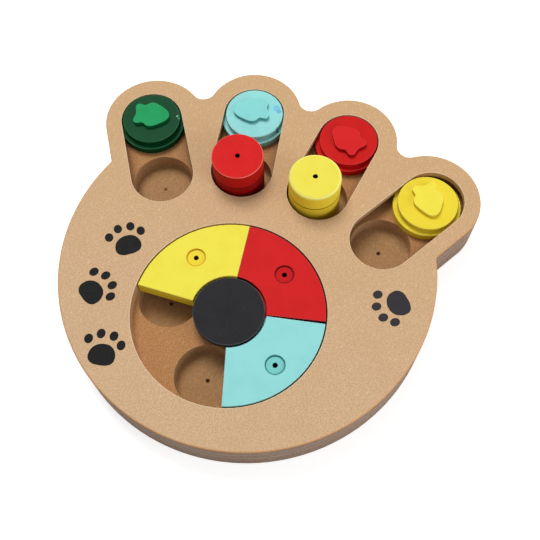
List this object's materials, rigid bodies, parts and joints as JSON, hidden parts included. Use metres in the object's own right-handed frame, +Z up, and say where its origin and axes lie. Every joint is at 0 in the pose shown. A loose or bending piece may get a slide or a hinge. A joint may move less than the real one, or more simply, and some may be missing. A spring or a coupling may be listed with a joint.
{
  "type": "dog puzzle feeder",
  "caption": "Paw-shaped board with cups under a turning ring of sectors, captive sliders in slots and loose plugs, all hiding treats for a dog to find.",
  "frame": {"origin": "middle of the paw outline, left to right and heel to toes, on the flat underside", "axes": "+Z up out of the playing face, +Y towards the toes, +X to the right seen from above"},
  "size_m": [0.2404, 0.2406, 0.0453],
  "materials": {
    "mdf": "plain sanded fibreboard",
    "hub_black": "matt black paint",
    "steel": "zinc plated",
    "emblem_green": "satin paint",
    "paint_green": "satin paint",
    "paint_turquoise": "satin paint",
    "paint_red": "satin paint",
    "paint_yellow": "satin paint"
  },
  "bodies": {
    "board": {"top_plate": "mdf", "middle_plate": "mdf", "base_plate": "mdf", "hub_post": "hub_black", "hub_cap": "hub_black", "hub_screw": "steel"},
    "ring_red": {"sector_red": "paint_red"},
    "ring_yellow": {"sector_yellow": "paint_yellow"},
    "ring_turquoise": {"sector_turquoise": "paint_turquoise"},
    "slider_green": {"slider_flange_green": "paint_green", "slider_disc_green": "paint_green", "fish_green": "emblem_green"},
    "slider_turquoise": {"slider_flange_turquoise": "paint_turquoise", "slider_disc_turquoise": "paint_turquoise", "fish_turquoise": "paint_turquoise"},
    "slider_red": {"slider_flange_red": "paint_red", "slider_disc_red": "paint_red", "fish_red": "paint_red"},
    "slider_yellow": {"slider_flange_yellow": "paint_yellow", "slider_disc_yellow": "paint_yellow", "fish_yellow": "paint_yellow"},
    "plug_red": {"plug_body_red": "paint_red", "plug_top_red": "paint_red"},
    "plug_yellow": {"plug_body_yellow": "paint_yellow", "plug_top_yellow": "paint_yellow"}
  },
  "joints": [
    {"name": "ring_turn", "type": "hinge", "parent": "board", "child": "ring_red", "pos_m": [0, -0.0418, 0.0187], "axis": [0, 0, 1], "continuous": true},
    {"name": "ring_spread_yellow", "type": "hinge", "parent": "ring_red", "child": "ring_yellow", "pos_m": [0, -0.0418, 0.0187], "axis": [0, 0, 1], "range_deg": [0, 51.5]},
    {"name": "ring_spread_turquoise", "type": "hinge", "parent": "ring_red", "child": "ring_turquoise", "pos_m": [0, -0.0418, 0.0187], "axis": [0, 0, 1], "range_deg": [-51.5, 1.2]},
    {"name": "slide_green", "type": "slide", "parent": "board", "child": "slider_green", "axis": [0.5195, -0.8545, 0], "range_m": [0, 0.0431]},
    {"name": "slide_turquoise", "type": "slide", "parent": "board", "child": "slider_turquoise", "axis": [0.1573, -0.9876, 0], "range_m": [0, 0.0073]},
    {"name": "slide_red", "type": "slide", "parent": "board", "child": "slider_red", "axis": [-0.1573, -0.9876, 0], "range_m": [0, 0.0067]},
    {"name": "slide_yellow", "type": "slide", "parent": "board", "child": "slider_yellow", "axis": [-0.5195, -0.8545, 0], "range_m": [-0.0034, 0.0383]},
    {"name": "lift_plug_red", "type": "slide", "parent": "board", "child": "plug_red", "axis": [0, 0, 1], "range_m": [0, 0.04]},
    {"name": "lift_plug_yellow", "type": "slide", "parent": "board", "child": "plug_yellow", "axis": [0, 0, 1], "range_m": [0, 0.04]}
  ]
}
